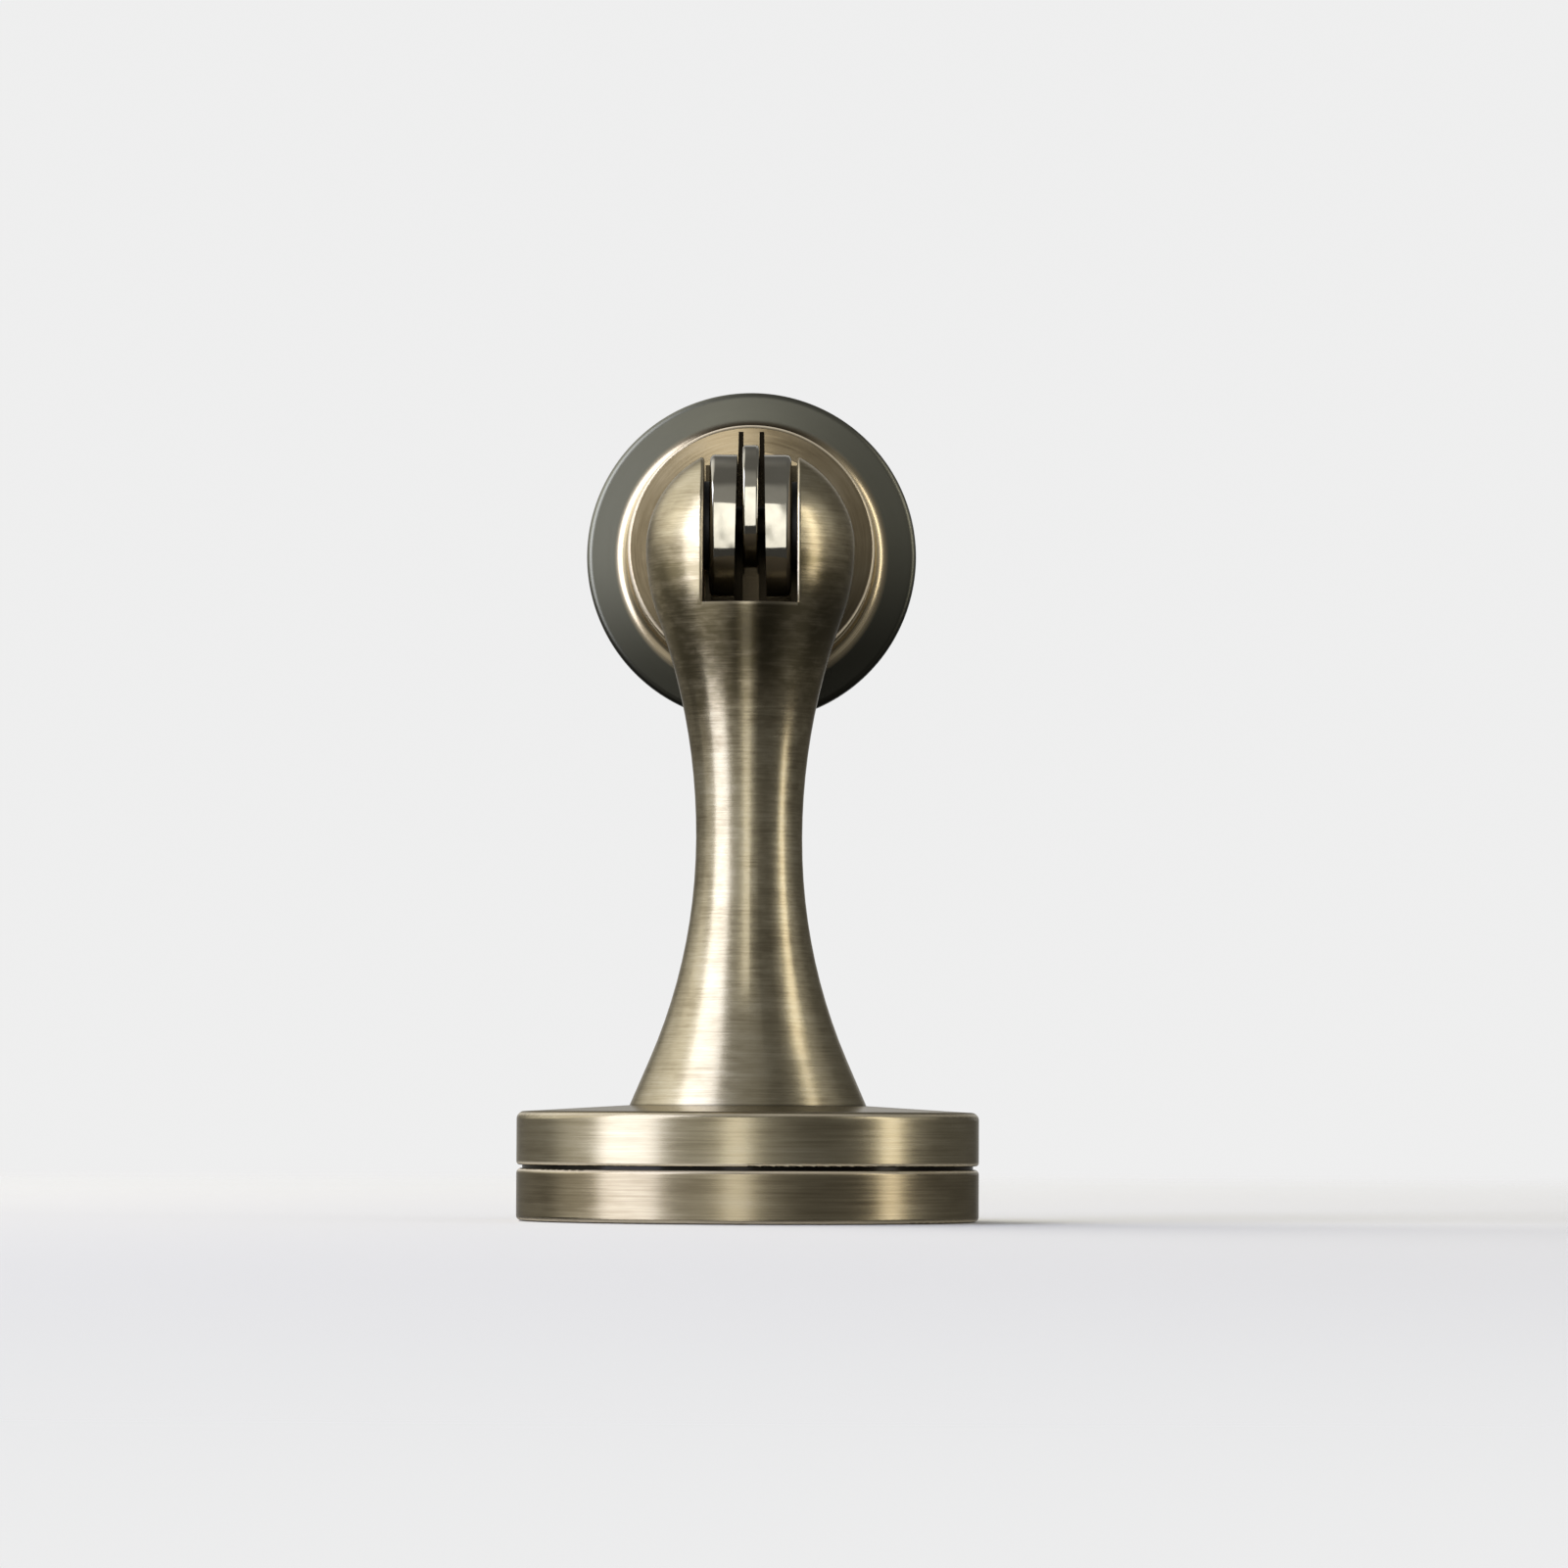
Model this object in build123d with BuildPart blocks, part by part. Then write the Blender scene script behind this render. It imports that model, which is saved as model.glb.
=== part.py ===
"""Magnetic door catch for floor or wall, in millimetres.

The stand is screwed to the floor or the wall. A magnet holder turns on a cross pin in the
slotted bulb at the stem's top. The round rose on the door carries a sprung steel disc, and the
magnet grips that disc. The origin is the middle of the foot's underside, +Z is up the stem
and +Y points at the door.
"""
from build123d import *
from math import atan2, hypot, isclose, tan
import os

os.makedirs("parts", exist_ok=True)

# Gap between round faces of pieces that are pressed, glued or screwed into each other
seat_gap = 0.02

# How far a cut runs out past the surface that it opens, and how closely an edge is matched
cut_overrun = 0.5
match_tolerance = 1e-4

# Foot: a base plate with the flange of the column on it, and a thin seam between them
foot_radius = 24.0
base_plate_thickness = 5.4
base_edge_round = 0.5
seam_gap = 0.35
seam_depth = 0.6
flange_thickness = 5.5
flange_top_round = 0.8
flange_lower_round = 0.35
crown_rise = 0.7

# Spigot of the base plate in the column's socket, held by a cone-pointed grub screw
spigot_radius = 10.0
spigot_height = 4.6
spigot_chamfer = 0.4
spigot_clearance = 0.1
socket_end_gap = 0.2
grub_radius = 2.0
grub_end_recess = 2.65
grub_tip_radius = 0.5
grub_hex_flats = 2.0
grub_hex_depth = 1.8
grub_groove_depth = 1.2
grub_groove_gap = 0.55

# Holes for three countersunk screws in the base plate
floor_screw_count = 3
floor_screw_hole_radius = 2.25
floor_screw_head_radius = 4.2

# Stem: a flared neck from the foot to a waist, then up to the bulb
neck_foot_radius = 12.3
neck_corner_rise = 15.7
neck_bend_share = 0.98
waist_radius = 5.53
waist_rise = 27.9
bulb_radius = 10.9
bulb_rise = 30.0
shoulder_radius = 20.5

# Slot through the bulb, and the pin across it
slot_width = 9.7
slot_edge_round = 0.25
slot_floor_gap = 1.2
pin_radius = 2.0
pin_rise = 2.5
pin_clearance = 0.05

# Friction washers in the two gaps beside the lug
side_gap = 0.6
washer_radius = 4.6
washer_slack = 0.05

# Lug of the magnet holder: two ears with a rib between two sawn grooves
ear_radius = 7.4
ear_edge_round = 0.55
rib_radius = 6.4
rib_rise = 2.0
rib_thickness = 1.7
rib_edge_round = 0.3
groove_width_top = 0.5
groove_width_foot = 0.85
groove_depth_in_cup = 1.0
groove_top_margin = 0.75

# Cup of the magnet holder, with the pole cup, the magnet and the rubber ring in it
cup_axis_rise = 1.1
swing_gap = 0.3
cup_radius = 13.1
cup_depth = 5.6
cup_floor = 2.3
cup_wall = 1.5
cup_land_radius = 10.2
cup_front_fall = 0.5
cup_front_round = 0.45
cup_back_round = 0.3
bumper_thickness = 1.5
bumper_proud = 0.4
bumper_round = 0.5
pole_wall = 1.4
pole_floor = 1.2
magnet_recess = 0.15

# Strike on the door: a sprung disc on a stud, kept by a clip behind the web of the rose
strike_radius = 12.0
strike_thickness = 2.0
strike_chamfer = 0.3
strike_travel = 1.0
strike_travel_spare = 0.2
strike_proud = 0.8
strike_side_gap = 0.3
stud_radius = 2.0
stud_head_radius = 3.6
stud_groove_depth = 0.4
stud_tail = 0.7
stud_end_gap = 0.3
stud_clearance = 0.05
clip_radius = 3.4
clip_thickness = 0.5
clip_mouth = 2.6
spring_height = 2.8
spring_turns = 2.2
spring_wire_width = 0.9
spring_wire_thickness = 0.4
spring_radius = 3.4
spring_side_gap = 0.4

# Rose on the door and the fixing plate that it is screwed onto
rose_radius = 17.7
rose_flange = 3.5
rose_flange_fall = 0.8
rose_flange_round = 0.8
rose_back_round = 0.3
rose_cove_round = 1.8
rose_neck_radius = 13.2
rose_rim_round = 0.3
web_thickness = 1.0
well_wall = 1.2
recess_floor = 1.2
rose_back_wall = 2.9
fixing_plate_thickness = 2.0
fixing_plate_bore_gap = 0.4
door_screw_hole_radius = 1.7
door_screw_head_radius = 3.0
screw_head_angle = 90

# Heights of the stand, from the floor up
seam_top = base_plate_thickness + seam_gap
flange_top = seam_top + flange_thickness
neck_foot = flange_top + crown_rise
waist_height = neck_foot + waist_rise
bulb_height = waist_height + bulb_rise
bulb_top = bulb_height + bulb_radius
pin_height = bulb_height + pin_rise
slot_floor = pin_height - ear_radius - slot_floor_gap
spigot_top = seam_top + spigot_height
socket_top = spigot_top + socket_end_gap
grub_height = seam_top + flange_thickness / 2
land_radius = foot_radius - seam_depth
screw_circle_radius = (spigot_radius + land_radius) / 2

# Distances of the head and the strike from the stem's axis, towards the door
cup_height = bulb_height + cup_axis_rise
cup_front = bulb_radius + swing_gap
cup_floor_back = cup_front + cup_floor
cup_back = cup_front + cup_depth
bumper_front = cup_back + bumper_proud
strike_back = bumper_front + strike_thickness
rose_front = bumper_front + strike_proud
recess_bottom = strike_back + strike_travel + strike_travel_spare
well_bottom = strike_back + spring_height
web_back = well_bottom + web_thickness
clip_back = web_back + clip_thickness
stud_end = clip_back + stud_tail
door_face = stud_end + strike_travel + stud_end_gap
rose_flange_front = door_face - rose_flange
fixing_plate_front = door_face - fixing_plate_thickness

# Radii round the axis of the cup and the strike
cup_bore_radius = cup_radius - cup_wall
pole_radius = cup_bore_radius - bumper_thickness
magnet_radius = pole_radius - pole_wall - seat_gap
recess_radius = strike_radius + strike_side_gap
well_radius = spring_radius + spring_wire_width / 2 + spring_side_gap
well_outer_radius = well_radius + well_wall
fixing_plate_radius = rose_radius - rose_back_wall
fixing_plate_bore = well_outer_radius + fixing_plate_bore_gap
door_screw_offset = (fixing_plate_bore + fixing_plate_radius) / 2

# Widths across the slot
lug_width = slot_width - 2 * side_gap
washer_thickness = side_gap - washer_slack

turning_plane = Plane(origin=(0, 0, cup_height), x_dir=(0, 1, 0), z_dir=(1, 0, 0))
head_axis = Axis((0, 0, cup_height), (0, 1, 0))


def facing_door(distance):
    """A plane across the cup's axis, at a distance from the stem's axis, facing the door."""
    return Plane(origin=(0, distance, cup_height), x_dir=(1, 0, 0), z_dir=(0, 1, 0))


def circles(part, radius):
    """The circular edges of a part that have the given radius."""
    return part.edges().filter_by(GeomType.CIRCLE).filter_by(
        lambda edge: isclose(edge.radius, radius, abs_tol=match_tolerance)
    )


def side_edges(edges, half_width):
    """Those edges whose middles lie this far to the left or right of the stem's axis."""
    return edges.filter_by(
        lambda edge: isclose(abs(edge.center().X), half_width, abs_tol=match_tolerance)
    )


def corner(section, across, up):
    """The corner of a section that lies nearest to a point of its own plane."""
    return section.vertices().sort_by_distance((across, up, 0))[0]


# Base plate: a disc with a smaller land, a grooved spigot and three countersunk holes
with BuildPart() as base_plate:
    Cylinder(foot_radius, base_plate_thickness, align=(Align.CENTER, Align.CENTER, Align.MIN))
    fillet(circles(base_plate.part, foot_radius), base_edge_round)
    with BuildSketch(Plane.XY.offset(base_plate_thickness)):
        Circle(land_radius)
    extrude(amount=seam_gap)
    with BuildSketch(Plane.XY.offset(seam_top)):
        Circle(spigot_radius)
    extrude(amount=spigot_height)
    chamfer(circles(base_plate.part, spigot_radius).sort_by(Axis.Z)[-1], spigot_chamfer)
    with BuildSketch(Plane.XZ):
        with BuildLine():
            Polyline(
                (spigot_radius - grub_groove_depth, grub_height),
                (spigot_radius, grub_height + grub_groove_depth),
                (spigot_radius + cut_overrun, grub_height + grub_groove_depth),
                (spigot_radius + cut_overrun, grub_height - grub_groove_depth),
                (spigot_radius, grub_height - grub_groove_depth),
                close=True,
            )
        make_face()
    revolve(axis=Axis.Z, mode=Mode.SUBTRACT)
    with Locations(Plane.XY.offset(seam_top)):
        with PolarLocations(screw_circle_radius, floor_screw_count, start_angle=90):
            CounterSinkHole(
                floor_screw_hole_radius, floor_screw_head_radius, counter_sink_angle=screw_head_angle
            )
base_plate.part.label = "base_plate"
export_step(base_plate.part, "parts/base_plate.step")

# The lower neck is two straight runs, along the foot's flare and up to the waist, with the
# largest bend between them that the shorter run allows
neck_start = (neck_foot_radius, neck_foot)
neck_corner = (waist_radius, neck_foot + neck_corner_rise)
waist = (waist_radius, waist_height)
flare = neck_foot_radius - waist_radius
bend_run = neck_bend_share * min(hypot(flare, neck_corner_rise), waist_rise - neck_corner_rise)
neck_bend_radius = bend_run / tan(atan2(flare, neck_corner_rise) / 2)

# The bulb's lower curve and the upper neck's curve touch at this point
shoulder_centre = bulb_radius - shoulder_radius
curve_offset = waist_radius - shoulder_centre
radius_difference = bulb_radius - waist_radius
upper_neck_radius = (curve_offset**2 + bulb_rise**2 - shoulder_radius**2) / (2 * radius_difference)
centre_distance = hypot(upper_neck_radius + curve_offset, bulb_rise)
shoulder_joint = (
    shoulder_centre + shoulder_radius * (upper_neck_radius + curve_offset) / centre_distance,
    bulb_height - shoulder_radius * bulb_rise / centre_distance,
)

# Column: one casting from the foot's flange to the slotted bulb
with BuildPart() as column:
    with BuildSketch(Plane.XZ) as column_section:
        with BuildLine():
            Polyline((0, seam_top), (foot_radius, seam_top), (foot_radius, flange_top), neck_start)
            FilletPolyline(neck_start, neck_corner, waist, radius=neck_bend_radius)
            upper_neck = TangentArc(waist, shoulder_joint, tangent=(0, 1))
            shoulder = TangentArc(shoulder_joint, (bulb_radius, bulb_height), tangent=upper_neck % 1)
            TangentArc((bulb_radius, bulb_height), (0, bulb_top), tangent=shoulder % 1)
            Line((0, bulb_top), (0, seam_top))
        make_face()
        fillet(corner(column_section, foot_radius, flange_top), flange_top_round)
        fillet(corner(column_section, foot_radius, seam_top), flange_lower_round)
    revolve(axis=Axis.Z)
    with BuildSketch(Plane.XY.offset(seam_top)):
        Circle(spigot_radius + spigot_clearance)
    extrude(amount=socket_top - seam_top, mode=Mode.SUBTRACT)
    with BuildSketch(Plane.XZ.offset(-foot_radius)):
        with Locations((0, grub_height)):
            Circle(grub_radius + seat_gap)
    extrude(amount=foot_radius - spigot_radius + grub_radius, mode=Mode.SUBTRACT)
    with BuildSketch(Plane.XY.offset(slot_floor)):
        Rectangle(slot_width, 2 * (bulb_radius + cut_overrun))
    extrude(amount=bulb_top + cut_overrun - slot_floor, mode=Mode.SUBTRACT)
    cheek_edges = side_edges(column.edges(Select.LAST), slot_width / 2)
    fillet(cheek_edges.filter_by_position(Axis.Z, pin_height, bulb_top), slot_edge_round)
    with BuildSketch(Plane.YZ):
        with Locations((0, pin_height)):
            Circle(pin_radius + seat_gap)
    extrude(amount=bulb_radius, both=True, mode=Mode.SUBTRACT)
column.part.label = "column"
export_step(column.part, "parts/column.step")

# Grub screw in the back of the flange, with its cone in the groove of the spigot
grub_tip = spigot_radius - grub_groove_depth + grub_groove_gap
grub_end = foot_radius - grub_end_recess
cone_length = grub_radius - grub_tip_radius
with BuildPart() as foot_grub_screw:
    with BuildSketch(Plane(origin=(0, 0, grub_height), x_dir=(0, 1, 0), z_dir=(1, 0, 0))):
        with BuildLine():
            Polyline(
                (grub_tip, 0),
                (grub_tip, grub_tip_radius),
                (grub_tip + cone_length, grub_radius),
                (grub_end, grub_radius),
                (grub_end, 0),
                close=True,
            )
        make_face()
    revolve(axis=Axis((0, 0, grub_height), (0, 1, 0)))
    with BuildSketch(Plane(origin=(0, grub_end, grub_height), x_dir=(1, 0, 0), z_dir=(0, 1, 0))):
        RegularPolygon(grub_hex_flats / 2, 6, major_radius=False)
    extrude(amount=-grub_hex_depth, mode=Mode.SUBTRACT)
foot_grub_screw.part.label = "foot_grub_screw"
export_step(foot_grub_screw.part, "parts/foot_grub_screw.step")

# Pivot pin, dressed flush with the bulb at both ends
with BuildPart() as pivot_pin:
    with BuildSketch(Plane.YZ):
        with Locations((0, pin_height)):
            Circle(pin_radius)
    extrude(amount=bulb_radius, both=True)
    with Locations((0, 0, bulb_height)):
        Sphere(bulb_radius, mode=Mode.INTERSECT)
pivot_pin.part.label = "pivot_pin"
export_step(pivot_pin.part, "parts/pivot_pin.step")

# Friction washers against the cheeks of the slot
for side, side_name in ((-1, "left"), (1, "right")):
    with BuildPart() as friction_washer:
        with BuildSketch(Plane.YZ.offset(side * slot_width / 2)):
            with Locations((0, pin_height)):
                Circle(washer_radius)
                Circle(pin_radius + pin_clearance, mode=Mode.SUBTRACT)
        extrude(amount=-side * washer_thickness)
    friction_washer.part.label = "friction_washer_" + side_name
    export_step(friction_washer.part, "parts/friction_washer_" + side_name + ".step")

# Magnet holder: a cup, and a lug with two ears and a rib that turns in the slot
def lug_side(radius, height):
    """The side view of an ear or the rib: a round nose with straight flanks back to the cup."""
    with BuildSketch(Plane.YZ) as side:
        with BuildLine():
            flank = Line((cup_front, height - radius), (0, height - radius))
            nose = ThreePointArc(flank @ 1, (-radius, height), (0, height + radius))
            Polyline(nose @ 1, (cup_front, height + radius), flank @ 0)
        make_face()
    return side.sketch


def groove_corners(side, inner):
    """The front view of a sawn groove beside the rib, which narrows towards the top."""
    return (
        (side * inner, groove_foot),
        (side * (rib_thickness / 2 + groove_width_foot), groove_foot),
        (side * (rib_thickness / 2 + groove_width_top), groove_top),
        (side * inner, groove_top),
    )


groove_foot = pin_height - ear_radius - cut_overrun
groove_top = cup_height + cup_radius - groove_top_margin
with BuildPart() as magnet_holder:
    with BuildSketch(facing_door(cup_front)):
        Circle(cup_radius)
    extrude(amount=cup_depth)
    with BuildSketch(facing_door(cup_floor_back)):
        Circle(cup_bore_radius)
    extrude(amount=cup_depth, mode=Mode.SUBTRACT)
    chamfer(
        circles(magnet_holder.part, cup_radius).sort_by(Axis.Y)[0],
        cup_radius - cup_land_radius,
        cup_front_fall,
        reference=magnet_holder.faces().sort_by(Axis.Y)[0],
    )
    fillet(circles(magnet_holder.part, cup_radius).sort_by(Axis.Y)[0], cup_front_round)
    fillet(circles(magnet_holder.part, cup_radius).sort_by(Axis.Y)[-1], cup_back_round)
    extrude(lug_side(ear_radius, pin_height), amount=lug_width / 2, both=True)
    ear_edges = side_edges(magnet_holder.edges(), lug_width / 2)
    fillet(ear_edges.filter_by_position(Axis.Y, -bulb_radius, cup_front, (True, False)), ear_edge_round)
    with BuildSketch(Plane.XZ.offset(-cup_front)):
        for side in (-1, 1):
            Polygon(*groove_corners(side, 0), align=None)
    extrude(amount=cup_front + ear_radius + cut_overrun, mode=Mode.SUBTRACT)
    with BuildSketch(Plane.XZ.offset(-cup_front - groove_depth_in_cup)):
        for side in (-1, 1):
            Polygon(*groove_corners(side, rib_thickness / 2), align=None)
    extrude(amount=groove_depth_in_cup, mode=Mode.SUBTRACT)
    extrude(lug_side(rib_radius, pin_height + rib_rise), amount=rib_thickness / 2, both=True)
    rib_edges = side_edges(magnet_holder.edges(), rib_thickness / 2)
    fillet(rib_edges.filter_by_position(Axis.Y, -bulb_radius, cup_front, (True, False)), rib_edge_round)
    with BuildSketch(Plane.YZ.offset(-lug_width)):
        with Locations((0, pin_height)):
            Circle(pin_radius + pin_clearance)
    extrude(amount=2 * lug_width, mode=Mode.SUBTRACT)
magnet_holder.part.label = "magnet_holder"
export_step(magnet_holder.part, "parts/magnet_holder.step")

# Pole cup and magnet, pressed and glued into the holder
with BuildPart() as pole_cup:
    with BuildSketch(facing_door(cup_floor_back)):
        Circle(pole_radius)
    extrude(amount=cup_back - cup_floor_back)
    with BuildSketch(facing_door(cup_floor_back + pole_floor)):
        Circle(magnet_radius + seat_gap)
    extrude(amount=cup_depth, mode=Mode.SUBTRACT)
pole_cup.part.label = "pole_cup"
export_step(pole_cup.part, "parts/pole_cup.step")

with BuildPart() as magnet:
    with BuildSketch(facing_door(cup_floor_back + pole_floor)):
        Circle(magnet_radius)
    extrude(amount=cup_back - cup_floor_back - pole_floor - magnet_recess)
    chamfer(circles(magnet.part, magnet_radius).sort_by(Axis.Y)[-1], magnet_recess)
magnet.part.label = "magnet"
export_step(magnet.part, "parts/magnet.step")

# Rubber ring between the pole cup and the wall of the holder
with BuildPart() as bumper_ring:
    with BuildSketch(facing_door(cup_floor_back)):
        Circle(cup_bore_radius - seat_gap)
        Circle(pole_radius + seat_gap, mode=Mode.SUBTRACT)
    extrude(amount=bumper_front - cup_floor_back)
    fillet(bumper_ring.faces().sort_by(Axis.Y)[-1].edges(), bumper_round)
bumper_ring.part.label = "bumper_ring"
export_step(bumper_ring.part, "parts/bumper_ring.step")

# Strike disc, countersunk for the head of its stud
stud_head_depth = stud_head_radius - stud_radius
with BuildPart() as strike_disc:
    with BuildSketch(facing_door(bumper_front)):
        Circle(strike_radius)
    extrude(amount=strike_thickness)
    chamfer(circles(strike_disc.part, strike_radius), strike_chamfer)
    with BuildSketch(turning_plane):
        with BuildLine():
            Polyline(
                (bumper_front, 0),
                (bumper_front, stud_head_radius + seat_gap),
                (bumper_front + stud_head_depth, stud_radius + seat_gap),
                (strike_back, stud_radius + seat_gap),
                (strike_back, 0),
                close=True,
            )
        make_face()
    revolve(axis=head_axis, mode=Mode.SUBTRACT)
strike_disc.part.label = "strike_disc"
export_step(strike_disc.part, "parts/strike_disc.step")

# Stud: a flush cone head, a shank through the web and a groove for the clip
with BuildPart() as strike_stud:
    with BuildSketch(turning_plane):
        with BuildLine():
            Polyline(
                (bumper_front, 0),
                (bumper_front, stud_head_radius),
                (bumper_front + stud_head_depth, stud_radius),
                (web_back, stud_radius),
                (web_back, stud_radius - stud_groove_depth),
                (clip_back, stud_radius - stud_groove_depth),
                (clip_back, stud_radius),
                (stud_end, stud_radius),
                (stud_end, 0),
                close=True,
            )
        make_face()
    revolve(axis=head_axis)
    chamfer(circles(strike_stud.part, stud_radius).sort_by(Axis.Y)[-1], stud_groove_depth / 2)
strike_stud.part.label = "strike_stud"
export_step(strike_stud.part, "parts/strike_stud.step")

with BuildPart() as strike_clip:
    with BuildSketch(facing_door(web_back)):
        Circle(clip_radius)
        Circle(stud_radius - stud_groove_depth + seat_gap, mode=Mode.SUBTRACT)
        with Locations((0, clip_radius / 2)):
            Rectangle(clip_mouth, clip_radius, mode=Mode.SUBTRACT)
    extrude(amount=clip_thickness)
strike_clip.part.label = "strike_clip"
export_step(strike_clip.part, "parts/strike_clip.step")

# Flat-wire coil spring round the stud, between the disc and the floor of its well
coil_height = spring_height - spring_wire_thickness
coil_start = strike_back + spring_wire_thickness / 2
with BuildPart() as strike_spring:
    with BuildLine() as coil:
        Helix(
            pitch=coil_height / spring_turns,
            height=coil_height,
            radius=spring_radius,
            center=(0, coil_start, cup_height),
            direction=(0, 1, 0),
        )
    outwards = (coil.line @ 0) - Vector(0, coil_start, cup_height)
    with BuildSketch(Plane(origin=coil.line @ 0, x_dir=outwards, z_dir=coil.line % 0)):
        Rectangle(spring_wire_width, spring_wire_thickness)
    sweep(path=coil.line, is_frenet=True)
strike_spring.part.label = "strike_spring"
export_step(strike_spring.part, "parts/strike_spring.step")

# Rose: a flange with a cove up to its neck, a recess for the disc and a well for the spring
with BuildPart() as door_rose:
    with BuildSketch(turning_plane):
        with BuildLine():
            Polyline(
                (web_back, stud_radius + stud_clearance),
                (well_bottom, stud_radius + stud_clearance),
                (well_bottom, well_radius),
                (recess_bottom, well_radius),
                (recess_bottom, recess_radius),
                (rose_front, recess_radius),
                (rose_front, rose_neck_radius),
                (rose_flange_front, rose_neck_radius),
                (rose_flange_front + rose_flange_fall, rose_radius),
                (door_face, rose_radius),
                (door_face, fixing_plate_radius),
                (fixing_plate_front, fixing_plate_radius),
                (fixing_plate_front, recess_radius),
                (recess_bottom + recess_floor, recess_radius - recess_floor),
                (recess_bottom + recess_floor, well_outer_radius),
                (web_back, well_outer_radius),
                (web_back, stud_radius + stud_clearance),
            )
        make_face()
    revolve(axis=head_axis)
    fillet(circles(door_rose.part, rose_neck_radius).sort_by(Axis.Y)[-1], rose_cove_round)
    fillet(circles(door_rose.part, rose_radius).sort_by(Axis.Y)[0], rose_flange_round)
    fillet(circles(door_rose.part, rose_radius).sort_by(Axis.Y)[-1], rose_back_round)
    fillet(circles(door_rose.part, rose_neck_radius).sort_by(Axis.Y)[0], rose_rim_round)
door_rose.part.label = "door_rose"
export_step(door_rose.part, "parts/door_rose.step")

# Fixing plate behind the rose, with two countersunk holes for the door screws
with BuildPart() as fixing_plate:
    with BuildSketch(facing_door(fixing_plate_front)):
        Circle(fixing_plate_radius - seat_gap)
        Circle(fixing_plate_bore, mode=Mode.SUBTRACT)
    extrude(amount=fixing_plate_thickness)
    with Locations(Plane(origin=(0, fixing_plate_front, cup_height), x_dir=(1, 0, 0), z_dir=(0, -1, 0))):
        with GridLocations(2 * door_screw_offset, 0, 2, 1):
            CounterSinkHole(
                door_screw_hole_radius, door_screw_head_radius, counter_sink_angle=screw_head_angle
            )
fixing_plate.part.label = "fixing_plate"
export_step(fixing_plate.part, "parts/fixing_plate.step")
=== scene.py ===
import math

import bmesh
import bpy
from mathutils import Matrix, Vector


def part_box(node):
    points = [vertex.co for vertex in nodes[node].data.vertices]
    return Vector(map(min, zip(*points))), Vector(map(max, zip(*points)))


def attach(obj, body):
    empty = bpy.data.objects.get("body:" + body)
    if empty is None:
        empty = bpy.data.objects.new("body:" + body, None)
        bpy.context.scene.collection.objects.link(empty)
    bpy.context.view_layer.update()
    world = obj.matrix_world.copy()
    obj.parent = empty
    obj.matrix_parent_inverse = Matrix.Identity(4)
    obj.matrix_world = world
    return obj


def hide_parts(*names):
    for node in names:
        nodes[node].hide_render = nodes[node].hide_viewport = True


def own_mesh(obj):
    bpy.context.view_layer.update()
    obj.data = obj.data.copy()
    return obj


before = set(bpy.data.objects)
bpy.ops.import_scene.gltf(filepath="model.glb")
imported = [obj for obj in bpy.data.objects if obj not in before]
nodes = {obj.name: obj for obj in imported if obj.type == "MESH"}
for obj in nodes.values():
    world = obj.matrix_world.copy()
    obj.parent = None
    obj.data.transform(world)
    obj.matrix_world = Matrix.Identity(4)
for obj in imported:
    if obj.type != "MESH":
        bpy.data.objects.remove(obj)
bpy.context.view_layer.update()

# Centres are in metres, as the frame is. Sizes, and what a finish compares with, are in millimetres.
millimetre = 0.001
cupLow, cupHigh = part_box("magnet_holder")
pinLow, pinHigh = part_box("pivot_pin")
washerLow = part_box("friction_washer_left")[0]
stemCentre = Vector((0, 0, 0))
headCentre = Vector((0, 0, (cupLow.z + cupHigh.z) / 2))
pinCentre = Vector((0, 0, (pinLow.z + pinHigh.z) / 2))
headHeight = headCentre.z / millimetre
slotHalfWidth = -washerLow.x / millimetre


class Wire:
    # a socket that takes arithmetic: each sign adds the Math node for it
    def __init__(self, owner, socket):
        self.owner = owner
        self.socket = socket

    def __add__(self, other):
        return self.owner.math("ADD", self, other)

    def __radd__(self, other):
        return self.owner.math("ADD", other, self)

    def __sub__(self, other):
        return self.owner.math("SUBTRACT", self, other)

    def __rsub__(self, other):
        return self.owner.math("SUBTRACT", other, self)

    def __mul__(self, other):
        return self.owner.math("MULTIPLY", self, other)

    def __rmul__(self, other):
        return self.owner.math("MULTIPLY", other, self)

    def __truediv__(self, other):
        return self.owner.math("DIVIDE", self, other)

    def __rtruediv__(self, other):
        return self.owner.math("DIVIDE", other, self)

    def __pow__(self, other):
        return self.owner.math("POWER", self, other)

    def __abs__(self):
        return self.owner.math("ABSOLUTE", self)

    def __gt__(self, other):
        return self.owner.math("GREATER_THAN", self, other)

    def __lt__(self, other):
        return self.owner.math("LESS_THAN", self, other)

    def clamped(self):
        return self.owner.node("ShaderNodeClamp", inputs={"Value": self})


class NodeTree:
    # any node tree; a node's settings are set before its sockets
    def __init__(self, tree):
        self.tree = tree
        self.tree.nodes.clear()

    def node(self, kind, settings=None, inputs=None, out=0):
        made = self.tree.nodes.new(kind)
        for key, value in (settings or {}).items():
            if key == "items":
                while len(made.index_switch_items) < value:
                    made.index_switch_items.new()
            elif key == "stops":
                ramp = made.color_ramp
                while len(ramp.elements) < len(value):
                    ramp.elements.new(0.5)
                for element, (position, color) in zip(ramp.elements, value):
                    element.position = position
                    element.color = (*color, 1)
            else:
                setattr(made, key, value)
        for key, value in (inputs or {}).items():
            if isinstance(value, Wire):
                self.tree.links.new(value.socket, made.inputs[key])
            else:
                made.inputs[key].default_value = value
        return Wire(self, made.outputs[out]) if made.outputs else made

    def math(self, operation, *values):
        return self.node("ShaderNodeMath", {"operation": operation}, dict(enumerate(values)))


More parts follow.
